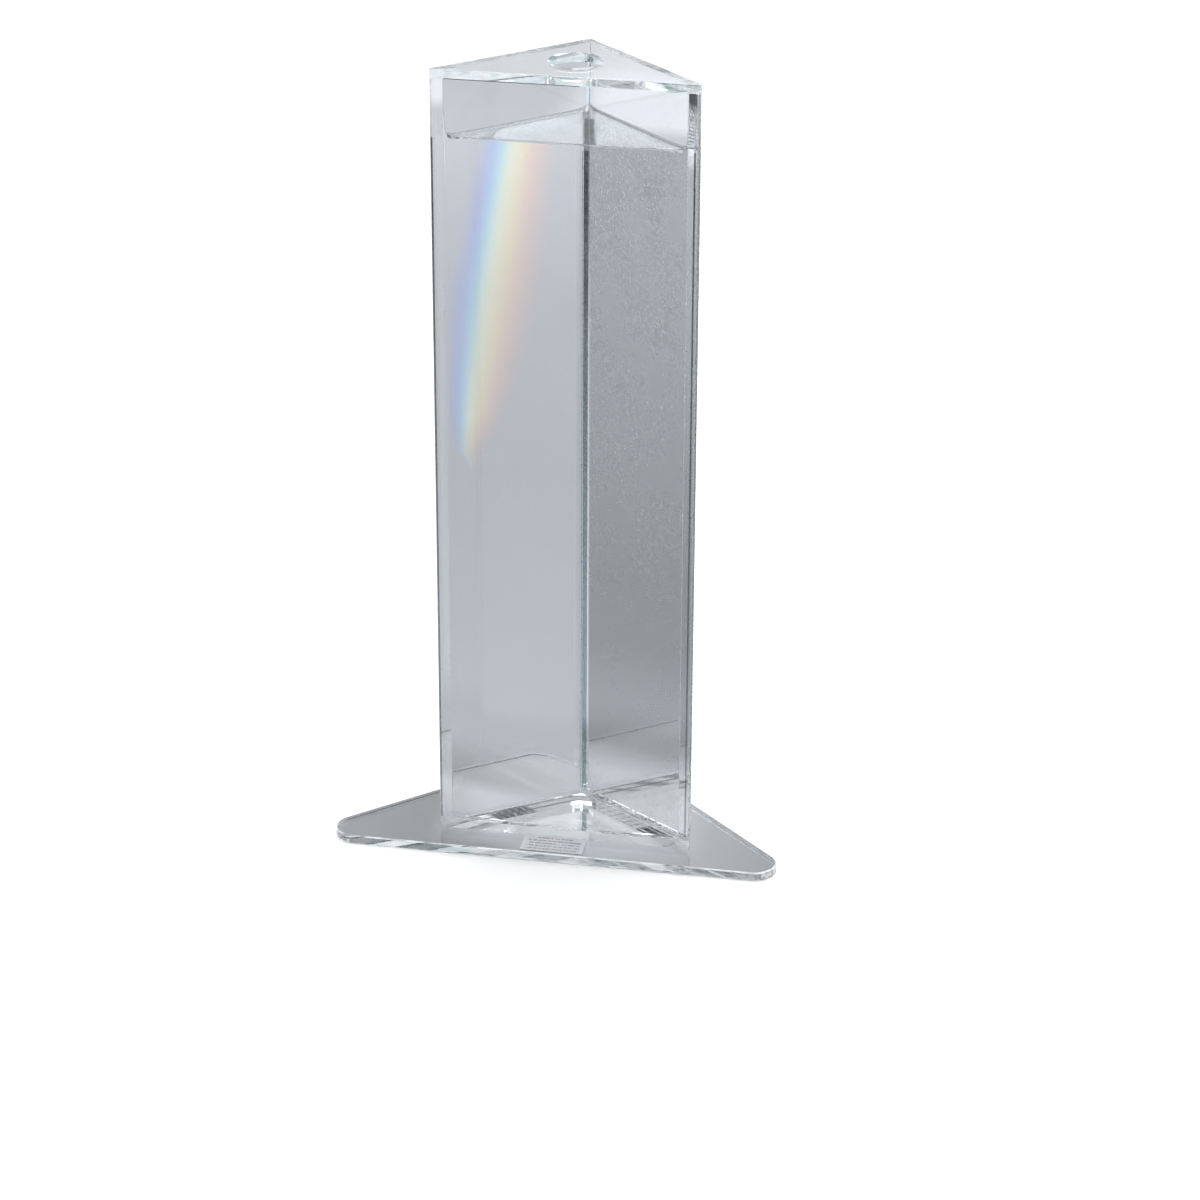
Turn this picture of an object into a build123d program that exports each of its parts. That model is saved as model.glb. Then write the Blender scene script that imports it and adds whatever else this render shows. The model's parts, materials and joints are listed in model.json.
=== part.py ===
"""A tall water prism: a clear acrylic column, closed at both ends, on a wide acrylic base.

The column has a right-angled section: one wide front face and two narrow rear faces that
meet at 90 degrees in the rear edge. It is glued together from flat sheet, stands on a
round-cornered base plate of the same shape, and is filled through a hole in its top.

Frame: millimetres, +Z up. The origin is on the base plate's underside, on the column's
axis, which is the line that lies equally far from all three faces. The wide front face
looks towards -Y, and the rear edge is on +Y.
"""

import os
from math import sqrt

from build123d import *

# Driving dimensions of the column
face_width = 100.2          # the wide front face, measured to its corners as if they were sharp
wall_height = 297.6         # the three walls, between the two end plates
wall_thickness = 2.1        # wall sheet
plate_thickness = 3.6       # the column's bottom plate and top plate
fill_hole_diameter = 19.2   # the hole that the water goes in through
edge_flat = 1.1             # cut off each knife edge of the column, along both faces
rear_flat = 0.5             # the same on the rear edge

# Driving dimensions of the base plate
base_width = 198.0          # its front edge, measured to its corners as if they were sharp
base_thickness = 3.7
base_corner_radius = 8.8
base_edge_break = 0.3       # polished bevel on the upper and lower rims
base_front_margin = 14.0    # from the base's front edge back to the column's front face
base_offset = -2.9          # how far the base's middle lies to the side of the column's axis

# What the column holds, and what is stuck to the base
water_depth = 274.8         # from the bottom plate up to the water's surface
bead_leg = 0.9              # legs of the cement beads in the inner corners
label_width = 24.4
label_depth = 12.4
label_thickness = 0.3
label_centre_x = -2.9
label_front_gap = 1.3       # from the base's front edge back to the label

# A right-angled triangle around a circle of radius 1: half its wide side, and the distance
# from the circle's middle to the right-angled corner
half_width_ratio = 1 + sqrt(2)
rear_ratio = sqrt(2)

# Radii of the circles that touch all three faces
column_inradius = face_width / 2 / half_width_ratio
cavity_inradius = column_inradius - wall_thickness
base_inradius = base_width / 2 / half_width_ratio

# Heights and places where the pieces meet
floor_z = base_thickness + plate_thickness
ceiling_z = floor_z + wall_height
base_front_y = -column_inradius - base_front_margin
base_middle = Vector(base_offset, base_front_y + base_inradius)
label_centre = (label_centre_x, base_front_y + label_front_gap + label_depth / 2)


def corners(inradius):
    """Front left, front right and rear corner of the triangle around a circle at the axis."""
    half_width = inradius * half_width_ratio
    return [(-half_width, -inradius), (half_width, -inradius), (0, inradius * rear_ratio)]


def toward(start, end, distance):
    """The point at a distance from start on the way to end."""
    return Vector(*start) + (Vector(*end) - Vector(*start)).normalized() * distance


outer = corners(column_inradius)
inner = corners(cavity_inradius)

# The column's outline, with its knife edges taken off
with BuildSketch() as column_outline:
    with BuildLine():
        Polyline(*outer, close=True)
    make_face()
    front_tips = column_outline.vertices().sort_by(Axis.Y)[:2]
    chamfer(front_tips, length=edge_flat)
    chamfer(column_outline.vertices().sort_by(Axis.Y)[-1], length=rear_flat)


# Base plate: the same triangle at twice the size, with round corners and polished rims
with BuildPart() as base_plate:
    with BuildSketch() as base_outline:
        with BuildLine():
            Polyline(*[base_middle + Vector(*corner) for corner in corners(base_inradius)], close=True)
        make_face()
        fillet(base_outline.vertices(), radius=base_corner_radius)
    extrude(amount=base_thickness)
    rims = base_plate.edges().group_by(Axis.Z)
    chamfer(rims[0] + rims[-1], length=base_edge_break)
base_plate.part.label = "base_plate"

# Bottom plate, the floor of the column
with BuildPart() as bottom_plate:
    with BuildSketch(Plane.XY.offset(base_thickness)):
        add(column_outline.sketch)
    extrude(amount=plate_thickness)
bottom_plate.part.label = "bottom_plate"

# Top plate, with the fill hole on the column's axis
with BuildPart() as top_plate:
    with BuildSketch(Plane.XY.offset(ceiling_z)):
        add(column_outline.sketch)
        Circle(fill_hole_diameter / 2, mode=Mode.SUBTRACT)
    extrude(amount=plate_thickness)
top_plate.part.label = "top_plate"


def make_wall(name, first, second):
    """A flat wall between two edges of the column, mitred along both."""
    with BuildPart() as wall:
        with BuildSketch(Plane.XY.offset(floor_z)):
            with BuildLine():
                Polyline(outer[first], outer[second], inner[second], inner[first], close=True)
            make_face()
            add(column_outline.sketch, mode=Mode.INTERSECT)
        extrude(amount=wall_height)
    wall.part.label = name
    return wall


left_edge, right_edge, rear_edge = range(3)
walls = [
    make_wall("front_wall", left_edge, right_edge),
    make_wall("rear_right_wall", right_edge, rear_edge),
    make_wall("rear_left_wall", rear_edge, left_edge),
]

# Cement bead around the floor: full at the bottom plate, and gone one leg higher up
with BuildPart() as floor_bead:
    with BuildSketch(Plane.XY.offset(floor_z)):
        with BuildLine():
            Polyline(*inner, close=True)
        make_face()
    extrude(amount=bead_leg)
    with BuildSketch(Plane.XY.offset(floor_z)) as bead_foot:
        with BuildLine():
            Polyline(*corners(cavity_inradius - bead_leg), close=True)
        make_face()
    with BuildSketch(Plane.XY.offset(floor_z + bead_leg)) as bead_top:
        with BuildLine():
            Polyline(*inner, close=True)
        make_face()
    loft([bead_foot.sketch.face(), bead_top.sketch.face()], mode=Mode.SUBTRACT)
floor_bead.part.label = "floor_bead"


def make_seam_bead(name, corner):
    """An upright cement bead in an inner corner of the column, from the floor bead up."""
    apex = inner[corner]
    legs = [toward(apex, inner[other], bead_leg) for other in range(3) if other != corner]
    with BuildPart() as bead:
        with BuildSketch(Plane.XY.offset(floor_z + bead_leg)):
            with BuildLine():
                Polyline(apex, *legs, close=True)
            make_face()
        extrude(amount=wall_height - bead_leg)
    bead.part.label = name
    return bead


seam_beads = [
    make_seam_bead("left_seam_bead", left_edge),
    make_seam_bead("right_seam_bead", right_edge),
    make_seam_bead("rear_seam_bead", rear_edge),
]

# Water, from the floor up to its surface, around the beads
with BuildPart() as water_fill:
    with BuildSketch(Plane.XY.offset(floor_z)):
        with BuildLine():
            Polyline(*inner, close=True)
        make_face()
    extrude(amount=water_depth)
    for bead in [floor_bead, *seam_beads]:
        add(bead.part, mode=Mode.SUBTRACT)
water_fill.part.label = "water_fill"

# Label, a thin foil plate between the column's foot and the base's front edge
with BuildPart() as label:
    with BuildSketch(Plane.XY.offset(base_thickness)):
        with Locations(label_centre):
            Rectangle(label_width, label_depth)
    extrude(amount=label_thickness)
label.part.label = "label"

pieces = [base_plate, bottom_plate, *walls, top_plate, floor_bead, *seam_beads, water_fill, label]
os.makedirs("parts", exist_ok=True)
for piece in pieces:
    export_step(piece.part, f"parts/{piece.part.label}.step")
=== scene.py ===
"""Looks of the water prism: a clear acrylic column full of water on a wide acrylic base.

Every clear piece is its own closed mesh, and light has to cross them as it crosses the real
thing. So each face says what lies on its other side: air, water or a film of cement. A face
on air or on water bends light. A cemented face doesn't, and shows only as a faint seam.
"""

import json
import random
from math import atan2, cos, exp, pi, radians, sin, sqrt, tan
import bpy
from mathutils import Matrix, Vector
from mathutils.geometry import delaunay_2d_cdt


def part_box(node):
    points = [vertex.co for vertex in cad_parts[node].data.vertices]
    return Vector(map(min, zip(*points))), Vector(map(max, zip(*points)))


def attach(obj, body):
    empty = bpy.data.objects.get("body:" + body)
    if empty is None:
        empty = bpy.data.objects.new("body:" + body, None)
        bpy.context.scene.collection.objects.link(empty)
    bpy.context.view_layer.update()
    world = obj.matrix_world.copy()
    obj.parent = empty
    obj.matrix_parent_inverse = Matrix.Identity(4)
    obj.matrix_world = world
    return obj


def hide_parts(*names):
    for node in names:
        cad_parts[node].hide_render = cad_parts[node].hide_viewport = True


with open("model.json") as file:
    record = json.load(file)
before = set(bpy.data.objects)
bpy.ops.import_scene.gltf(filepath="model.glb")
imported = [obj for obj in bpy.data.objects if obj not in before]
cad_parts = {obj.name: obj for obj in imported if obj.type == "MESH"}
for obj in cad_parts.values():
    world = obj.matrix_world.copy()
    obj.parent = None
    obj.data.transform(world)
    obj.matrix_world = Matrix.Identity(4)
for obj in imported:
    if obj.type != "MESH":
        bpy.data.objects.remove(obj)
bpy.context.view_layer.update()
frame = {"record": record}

MM = 0.001

# Optics
ACRYLIC_IOR = 1.49
WATER_IOR = 1.333
WET_IOR = ACRYLIC_IOR / WATER_IOR   # seen from inside the acrylic, with water behind the face
CEMENTED_IOR = 1.0                  # the same stuff on both sides
FILM = 0.01 * MM                    # every piece is this much smaller, so that no faces coincide
WATER_GAP = 2.5 * FILM              # the same for the water

# Water
MENISCUS_RISE = 0.9 * MM            # how far the water climbs a flat wall
MENISCUS_LENGTH = 1.7 * MM          # how far from the wall it is flat again
MENISCUS_AT_CORNER = 0.12 * MM      # that distance in a sharp corner
MENISCUS_WIDENS = 0.25              # and how much it grows per distance from the corner
MENISCUS_RINGS = (0.08, 0.18, 0.3, 0.5, 0.75, 1.1, 1.6, 2.3, 3.3, 4.6, 6.5, 9.0)    # mm from the wall
CORNER_CLIMB = 2.5 * MM * MM        # in a sharp corner it climbs by this over the distance to it
CORNER_CLIMB_START = 0.35 * MM      # that distance is measured from here
CORNER_NEAREST = 0.2 * MM           # and is never taken as less than this
CORNER_CLIMB_MOST = 11 * MM
CORNER_REACH = 9 * MM               # the climb fades out over this distance
REAR_CLIMB = 2.4 * MM               # the same for the right-angled rear corner
REAR_REACH = 1.6 * MM
WATERLINE = 0.4 * MM                # height of the white band painted just above the water's edge: a painted highlight
BROAD_WATERLINE = 2.6 * WATERLINE   # the same on the rear right wall
EDGE_LINE = 0.4 * MM                # height of the line under that band, painted dark on the rear right wall: painted shade
SHALLOW = 12 * MM                   # the rear seam is clear down to this depth, and painted dark below it

# Detail of the meshes
WALL_COLUMNS = 56                   # strips across the inside of a wall
EVEN_PART = 0.15                    # 1 spaces them evenly, 0 crowds them at both ends
BEAD_STEPS = 4
BEAD_HOLLOW = 0.45                  # how far a bead's face is drawn in towards its corner
SLOPE_STEPS = 5
HOLE_STEPS = 96
CORNER_STEPS = 14
BUBBLE_STEPS = 8

# Camera, in front of the object, a little to the right of it and above it
VIEW_AZIMUTH = radians(10.65)
VIEW_ELEVATION = radians(24.47)
VIEW_ROLL = radians(0.24)
VIEW_DISTANCE = 1.3871
VIEW_AIM = Vector((0.01624, -0.03432, 0.11248))
LENS = 112.0

# Sizes, all from the frame
HALF_WIDTH_RATIO = 1 + sqrt(2)      # of a right-angled triangle around a circle of radius 1
REAR_RATIO = sqrt(2)
front_low, front_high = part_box("front_wall")
top_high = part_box("top_plate")[1]
base_low, base_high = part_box("base_plate")
water_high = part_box("water_fill")[1]
bead_low, bead_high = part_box("floor_bead")
label_low, label_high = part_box("label")
FLOOR_Z = front_low[2]
CEILING_Z = front_high[2]
TOP_Z = top_high[2]
BASE_TOP_Z = base_high[2]
WATER_Z = water_high[2]
BEAD_LEG = bead_high[2] - bead_low[2]
COLUMN_RADIUS = -front_low[1]
WALL = front_high[1] - front_low[1]
CAVITY_RADIUS = COLUMN_RADIUS - WALL
EDGE_FLAT = (COLUMN_RADIUS * HALF_WIDTH_RATIO - top_high[0]) * sqrt(2)
REAR_FLAT = (COLUMN_RADIUS * REAR_RATIO - top_high[1]) * sqrt(2)
BASE_WIDTH = base_high[0] - base_low[0]
BASE_DEPTH = base_high[1] - base_low[1]
BASE_CORNER = (2 * BASE_DEPTH - BASE_WIDTH) / 2
BASE_HALF = BASE_WIDTH / 2 + sqrt(2) * BASE_CORNER
BASE_MIDDLE = (base_low[0] + base_high[0]) / 2
HOLE_RADIUS = next(m for m in frame["record"]["mounts"] if m["name"] == "fill_hole")["dims"]["r_mm"] * MM

# Width of the narrow slopes along the rims
BASE_BREAK = 0.42 * MM
HOLE_BREAK = 0.35 * MM
TOP_BREAK = 0.25 * MM

# Corners of the column, and the parts of each mitred seam's width, from and to, that the
# cement didn't run into
LEFT, RIGHT, REAR = range(3)
OPEN_PARTS = ((0.05, 0.2), (0.4, 0.56), (0.02, 0.9))

# Kinds of face, in the order in which make_acrylic gives their materials
AIR, WET, CEMENTED, SAWN, SURFACE, OPEN_SEAM_PAINTED_SHADE, SCUFFED = range(7)
PAINTED_SHADE_RIM, MILKY_CEMENT_AND_HIGHLIGHT, EDGE_ON, HAZY, SHEET_EDGE_PAINTED_HIGHLIGHT, PAINTED_HIGHLIGHT_FILM = range(7, 13)

# Kinds of face on the label
PRINT, CUT_EDGE_PAINTED_SHADE, BACK = range(3)


# ---------------------------------------------------------------- outlines

def triangle(radius):
    """Front left, front right and rear corner of the triangle around a circle at the axis."""
    half = radius * HALF_WIDTH_RATIO
    return [Vector((-half, -radius)), Vector((half, -radius)), Vector((0, radius * REAR_RATIO))]


def toward(start, end, distance):
    """The point at a distance from start on the way to end."""
    return start + (end - start).normalized() * distance


def inset(outline, distance):
    """A counterclockwise outline, moved inwards by a distance."""
    moved = []
    count = len(outline)
    for i, point in enumerate(outline):
        before = (point - outline[i - 1]).normalized()
        after = (outline[(i + 1) % count] - point).normalized()
        normal = Vector((-before.y - after.y, before.x + after.x)).normalized()
        moved.append(point + normal * (distance / normal.dot(Vector((-before.y, before.x)))))
    return moved


def column_outline():
    """The column's section, with its edges taken off."""
    left, right, rear = triangle(COLUMN_RADIUS)
    return [
        toward(left, right, EDGE_FLAT),
        toward(right, left, EDGE_FLAT),
        toward(right, rear, EDGE_FLAT),
        toward(rear, right, REAR_FLAT),
        toward(rear, left, REAR_FLAT),
        toward(left, rear, EDGE_FLAT),
    ]


def spaced(start, end):
    """Points from start to end, close together near both ends, where the water climbs."""
    points = []
    for i in range(WALL_COLUMNS + 1):
        t = i / WALL_COLUMNS
        eased = 0.5 - 0.5 * cos(pi * t)
        points.append(start.lerp(end, eased * (1 - EVEN_PART) + t * EVEN_PART))
    return points


def bead_arc(corner):
    """The hollow face of the cement bead in an inner corner, counterclockwise."""
    inner = triangle(CAVITY_RADIUS)
    apex = inner[corner]
    first = toward(apex, inner[corner - 1], BEAD_LEG)
    last = toward(apex, inner[(corner + 1) % 3], BEAD_LEG)
    points = []
    for i in range(BEAD_STEPS + 1):
        t = i / BEAD_STEPS
        chord = first.lerp(last, t)
        points.append(chord.lerp(apex, BEAD_HOLLOW * sin(pi * t)))
    return points


def cavity_outline():
    """The inside of the column with its beads, counterclockwise."""
    points = []
    for corner in range(3):
        following = (corner + 1) % 3
        arc = bead_arc(corner)
        points += arc[:-1]
        points += spaced(arc[-1], bead_arc(following)[0])[:-1]
    return points


def water_contact(point):
    """How high the water stands against the inside of the column at a point."""
    inner = triangle(CAVITY_RADIUS)
    away = min((point - corner).length for corner in inner[:REAR])
    from_rear = (point - inner[REAR]).length
    climb = CORNER_CLIMB / max(away - CORNER_CLIMB_START, CORNER_NEAREST)
    climb = min(climb, CORNER_CLIMB_MOST) * exp(-away / CORNER_REACH)
    rear_climb = REAR_CLIMB * exp(-from_rear / REAR_REACH)
    return WATER_Z + MENISCUS_RISE + climb + rear_climb


# ---------------------------------------------------------------- meshes

def add_piece(name, vertices, faces, kinds, materials, smooth=()):
    """A mesh object. kinds says which material each face takes, and smooth which are shaded so."""
    mesh = bpy.data.meshes.new(name)
    mesh.from_pydata([tuple(v) for v in vertices], [], faces)
    for material in materials:
        mesh.materials.append(material)
    for polygon, kind in zip(mesh.polygons, kinds):
        polygon.material_index = kind
        polygon.use_smooth = kind in smooth
    mesh.validate()
    piece = bpy.data.objects.new(name, mesh)
    bpy.context.scene.collection.objects.link(piece)
    return piece


class Shell:
    """Collects the vertices and faces of one closed mesh."""

    def __init__(self):
        self.vertices = []
        self.faces = []
        self.kinds = []

    def ring(self, points, heights):
        """Adds a ring of vertices and returns their numbers."""
        start = len(self.vertices)
        for point, z in zip(points, heights):
            self.vertices.append((point.x, point.y, z))
        return list(range(start, len(self.vertices)))

    def level_ring(self, points, z):
        """The same for a ring that lies at one height."""
        return self.ring(points, [z] * len(points))

    def band(self, lower, upper, kinds):
        """Faces between two rings. kinds is one kind, or one for each side."""
        count = len(lower)
        for i in range(count):
            j = (i + 1) % count
            self.faces.append((lower[i], lower[j], upper[j], upper[i]))
            self.kinds.append(kinds if isinstance(kinds, int) else kinds[i])

    def cap(self, rings, kinds, up):
        """Fills nested rings, outermost first. kinds has one kind for the space inside each
        ring and outside the next; None leaves it open."""
        index = [v for ring in rings for v in ring]
        flat = [Vector(self.vertices[v][:2]) for v in index]
        edges = []
        start = 0
        for ring in rings:
            edges += [(start + i, start + (i + 1) % len(ring)) for i in range(len(ring))]
            start += len(ring)
        scaled = [p / MM for p in flat]
        result = delaunay_2d_cdt(scaled, edges, [], 1, 1e-6)
        made, triangles, origins = result[0], result[2], result[3]
        polygons = []
        start = 0
        for ring in rings:
            polygons.append(scaled[start:start + len(ring)])
            start += len(ring)
        for face in triangles:
            middle = sum((made[v] for v in face), Vector((0, 0))) / len(face)
            depth = sum(1 for polygon in polygons if contains(polygon, middle))
            kind = kinds[depth - 1] if depth else None
            if kind is None:
                continue
            corners = [index[origins[v][0]] for v in face]
            self.faces.append(tuple(corners) if up else tuple(reversed(corners)))
            self.kinds.append(kind)

    def bubble(self, centre, radii, turn):
        """A hollow in the stuff: a closed ball whose faces look inwards."""
        start = len(self.vertices)
        steps = BUBBLE_STEPS
        rows = steps // 2
        axis = Matrix.Rotation(turn, 3, "Z")
        for row in range(1, rows):
            tilt = pi * row / rows
            for i in range(steps):
                around = 2 * pi * i / steps
                local = Vector((
                    radii[0] * sin(tilt) * cos(around),
                    radii[1] * sin(tilt) * sin(around),
                    radii[2] * cos(tilt),
                ))
                self.vertices.append(tuple(centre + axis @ local))
        top = len(self.vertices)
        self.vertices.append(tuple(centre + Vector((0, 0, radii[2]))))
        self.vertices.append(tuple(centre - Vector((0, 0, radii[2]))))
        for i in range(steps):
            j = (i + 1) % steps
            last = start + (rows - 2) * steps
            self.faces.append((top, start + j, start + i))
            self.faces.append((top + 1, last + i, last + j))
            for row in range(rows - 2):
                a = start + row * steps
                self.faces.append((a + i, a + j, a + steps + j, a + steps + i))
        self.kinds += [AIR] * (len(self.faces) - len(self.kinds))

    def piece(self, name, materials, replaced, slot_name, smooth=()):
        """Makes the object that stands for a CAD node."""
        piece = add_piece(name, self.vertices, self.faces, self.kinds, materials, smooth)
        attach(piece, "root")
        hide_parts(replaced)


def contains(polygon, point):
    """Whether a polygon of 2D points holds a point."""
    inside = False
    for i, b in enumerate(polygon):
        a = polygon[i - 1]
        if (a.y > point.y) != (b.y > point.y):
            if point.x < (b.x - a.x) * (point.y - a.y) / (b.y - a.y) + a.x:
                inside = not inside
    return inside


# ---------------------------------------------------------------- materials

class Nodes:
    """A material's node tree, with short words for the nodes that it needs."""

    def __init__(self, name):
        self.material = bpy.data.materials.new(name)
        self.material.use_nodes = True
        self.tree = self.material.node_tree
        self.shader = self.tree.nodes["Principled BSDF"]
        self.place = self.add("ShaderNodeTexCoord").outputs["Object"]

    def glass(self, ior, transmission=1.0):
        """Makes the shader clear, and polished if no roughness is linked to it."""
        self.shader.inputs["Transmission Weight"].default_value = transmission
        self.shader.inputs["IOR"].default_value = ior
        self.shader.inputs["Roughness"].default_value = 0.0

    def add(self, kind, **settings):
        node = self.tree.nodes.new(kind)
        for key, value in settings.items():
            setattr(node, key, value)
        return node

    def link(self, source, target):
        self.tree.links.new(source, target)

    def stretched(self, scale):
        """The place on the object, scaled along each axis."""
        node = self.add("ShaderNodeMapping")
        node.inputs["Scale"].default_value = scale
        self.link(self.place, node.inputs["Vector"])
        return node.outputs["Vector"]

    def noise(self, scale, detail=3.0, roughness=0.5, place=None):
        node = self.add("ShaderNodeTexNoise")
        node.inputs["Scale"].default_value = scale
        node.inputs["Detail"].default_value = detail
        node.inputs["Roughness"].default_value = roughness
        self.link(place or self.place, node.inputs["Vector"])
        return node.outputs["Fac"]

    def split(self):
        """The place on the object along X, Y and Z."""
        node = self.add("ShaderNodeSeparateXYZ")
        self.link(self.place, node.inputs["Vector"])
        return node.outputs["X"], node.outputs["Y"], node.outputs["Z"]

    def spread(self, value, low, high, to_low, to_high):
        """A value from low to high becomes one from to_low to to_high."""
        node = self.add("ShaderNodeMapRange")
        node.inputs["From Min"].default_value = low
        node.inputs["From Max"].default_value = high
        node.inputs["To Min"].default_value = to_low
        node.inputs["To Max"].default_value = to_high
        self.link(value, node.inputs["Value"])
        return node.outputs["Result"]

    def combine(self, operation, a, b):
        node = self.add("ShaderNodeMath", operation=operation)
        for socket, value in zip(node.inputs, (a, b)):
            if isinstance(value, (int, float)):
                socket.default_value = value
            else:
                self.link(value, socket)
        return node.outputs["Value"]

    def mix(self, factor, a, b, blend="MIX"):
        """Mixes two colours, from a to b as the factor goes from 0 to 1."""
        node = self.add("ShaderNodeMix", data_type="RGBA", blend_type=blend)
        for value, socket in zip((factor, a, b), (node.inputs[key] for key in ("Factor", "A", "B"))):
            if isinstance(value, (int, float)):
                socket.default_value = value
            elif isinstance(value, tuple):
                socket.default_value = (*value, 1)
            else:
                self.link(value, socket)
        return node.outputs["Result"]

    def bump(self, height, distance, strength=1.0, below=None):
        node = self.add("ShaderNodeBump")
        node.inputs["Distance"].default_value = distance
        node.inputs["Strength"].default_value = strength
        self.link(height, node.inputs["Height"])
        if below:
            self.link(below, node.inputs["Normal"])
        return node.outputs["Normal"]


def streaks(nodes, size, turn, rarity):
    """1 along separate thin lines of about the given size, turned about each axis."""
    node = nodes.add("ShaderNodeMapping", vector_type="TEXTURE")
    node.inputs["Scale"].default_value = size
    node.inputs["Rotation"].default_value = turn
    nodes.link(nodes.place, node.inputs["Vector"])
    lines = nodes.noise(1.0, 1.0, 0.4, node.outputs["Vector"])
    return nodes.spread(lines, rarity, rarity + 0.04, 0.0, 1.0)


def scratches(nodes):
    """Hairlines, some nearly upright and some lying flat."""
    upright = streaks(nodes, (0.2 * MM, 0.2 * MM, 22 * MM), (0.05, 0.08, 0.0), 0.78)
    slanting = streaks(nodes, (0.16 * MM, 9 * MM, 4 * MM), (0.2, 0.0, 0.7), 0.76)
    return nodes.combine("MAXIMUM", upright, slanting)


def specks(nodes, scale, size):
    """1 on a few small dots, and 0 elsewhere."""
    cells = nodes.add("ShaderNodeTexVoronoi")
    cells.inputs["Scale"].default_value = scale
    nodes.link(nodes.place, cells.inputs["Vector"])
    dots = nodes.spread(cells.outputs["Distance"], size * 0.6, size, 1.0, 0.0)
    split = nodes.add("ShaderNodeSeparateColor")
    nodes.link(cells.outputs["Color"], split.inputs["Color"])
    chosen = nodes.combine("GREATER_THAN", split.outputs["Red"], 0.72)
    return nodes.combine("MULTIPLY", dots, chosen)


def smears(nodes):
    """Dried splashes: fine grains in soft patches, most of them just below the waterline."""
    grains = nodes.spread(nodes.noise(500.0, 6.0, 0.8), 0.4, 0.68, 0.02, 1.0)
    patches = nodes.spread(nodes.noise(48.0, 5.0, 0.7), 0.44, 0.68, 0.0, 1.0)
    height = nodes.split()[2]
    higher = nodes.spread(height, 0.3 * TOP_Z, 0.85 * TOP_Z, 0.06, 1.0)
    below_water = nodes.spread(height, WATER_Z - 2 * MM, WATER_Z + 2 * MM, 1.0, 0.12)
    amount = nodes.combine("MULTIPLY", higher, below_water)
    return nodes.combine("MULTIPLY", nodes.combine("MULTIPLY", grains, patches), amount)


def clear(name, ior, tint, shade, dust=0.0, wear=0.0, haze=0.0):
    """Polished clear sheet. tint and shade are the colours it varies between. dust, wear and
    haze say how strongly specks, scratches and dried splashes show."""
    nodes = Nodes(name)
    nodes.glass(ior)
    shader = nodes.shader
    nodes.link(nodes.mix(nodes.noise(30.0), tint, shade), shader.inputs["Base Color"])
    if dust:
        cover = nodes.combine("MULTIPLY", specks(nodes, 620.0, 0.11), dust)
        if haze:
            splashes = nodes.combine("MULTIPLY", smears(nodes), haze)
            cover = nodes.combine("MAXIMUM", cover, splashes)
        nodes.link(nodes.spread(cover, 0.0, 1.0, 1.0, 0.0), shader.inputs["Transmission Weight"])
    if wear:
        marks = scratches(nodes)
        nodes.link(nodes.spread(marks, 0.0, 1.0, 0.0, wear), shader.inputs["Roughness"])
        ripple = nodes.bump(nodes.noise(60.0, 2.0), 0.004 * MM)
        nodes.link(nodes.bump(marks, -0.004 * MM, 0.6, ripple), shader.inputs["Normal"])
    return nodes.material


def sawn(name, tint, shade, pitch):
    """A saw-cut edge of a sheet: fine grooves across it, and half matt."""
    nodes = Nodes(name)
    nodes.glass(ACRYLIC_IOR)
    shader = nodes.shader
    grooves = nodes.noise(1.0, 2.0, 0.6, nodes.stretched((120.0, 120.0, 1.0 / pitch)))
    nodes.link(nodes.mix(grooves, tint, shade), shader.inputs["Base Color"])
    nodes.link(nodes.spread(grooves, 0.3, 0.7, 0.15, 0.45), shader.inputs["Roughness"])
    nodes.link(nodes.bump(grooves, 0.12 * MM), shader.inputs["Normal"])
    return nodes.material


def rim_painted_shade(name, tint, shade):
    """The narrow slope that was scraped along an edge and not polished, its colour painted dark: painted
    shade.
    """
    nodes = Nodes(name)
    nodes.glass(ACRYLIC_IOR, 0.5)
    shader = nodes.shader
    chatter = nodes.noise(260.0, 3.0, 0.6)
    nodes.link(nodes.mix(chatter, tint, shade), shader.inputs["Base Color"])
    nodes.link(nodes.spread(chatter, 0.3, 0.7, 0.15, 0.4), shader.inputs["Roughness"])
    nodes.link(nodes.bump(chatter, 0.05 * MM), shader.inputs["Normal"])
    return nodes.material


def edge_on(name, tint, shade):
    """The side of a sheet. What shows in it has come a long way through the sheet, which
    makes it greener and darker in places. Its lighter copy is a painted highlight."""
    nodes = Nodes(name)
    nodes.glass(ACRYLIC_IOR)
    shader = nodes.shader
    facets = nodes.noise(1.0, 2.0, 0.4, nodes.stretched((95.0, 95.0, 260.0)))
    lightness = nodes.spread(facets, 0.34, 0.5, 0.0, 1.0)
    nodes.link(nodes.mix(lightness, tint, shade), shader.inputs["Base Color"])
    chatter = nodes.noise(400.0, 3.0, 0.6)
    nodes.link(nodes.spread(chatter, 0.4, 0.7, 0.02, 0.12), shader.inputs["Roughness"])
    nodes.link(nodes.bump(chatter, 0.004 * MM), shader.inputs["Normal"])
    return nodes.material


def milky_seam(name, tint, shade, clearest):
    """A film of cement full of tiny bubbles, which scatters some of the light. The same white film also
    paints highlights on rims, edges and the water's edge. The higher clearest is, the more light gets
    through between the blotches."""
    nodes = Nodes(name)
    shader = nodes.shader
    shader.inputs["IOR"].default_value = CEMENTED_IOR
    bubbles = nodes.noise(700.0, 4.0, 0.7)
    blotches = nodes.noise(90.0, 3.0, 0.6)
    nodes.link(nodes.mix(blotches, tint, shade), shader.inputs["Base Color"])
    fine = nodes.spread(bubbles, 0.4, 0.7, 0.5, -0.2)
    coarse = nodes.spread(blotches, 0.35, 0.6, 0.5, clearest)
    nodes.link(nodes.combine("ADD", fine, coarse), shader.inputs["Transmission Weight"])
    return nodes.material


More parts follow.
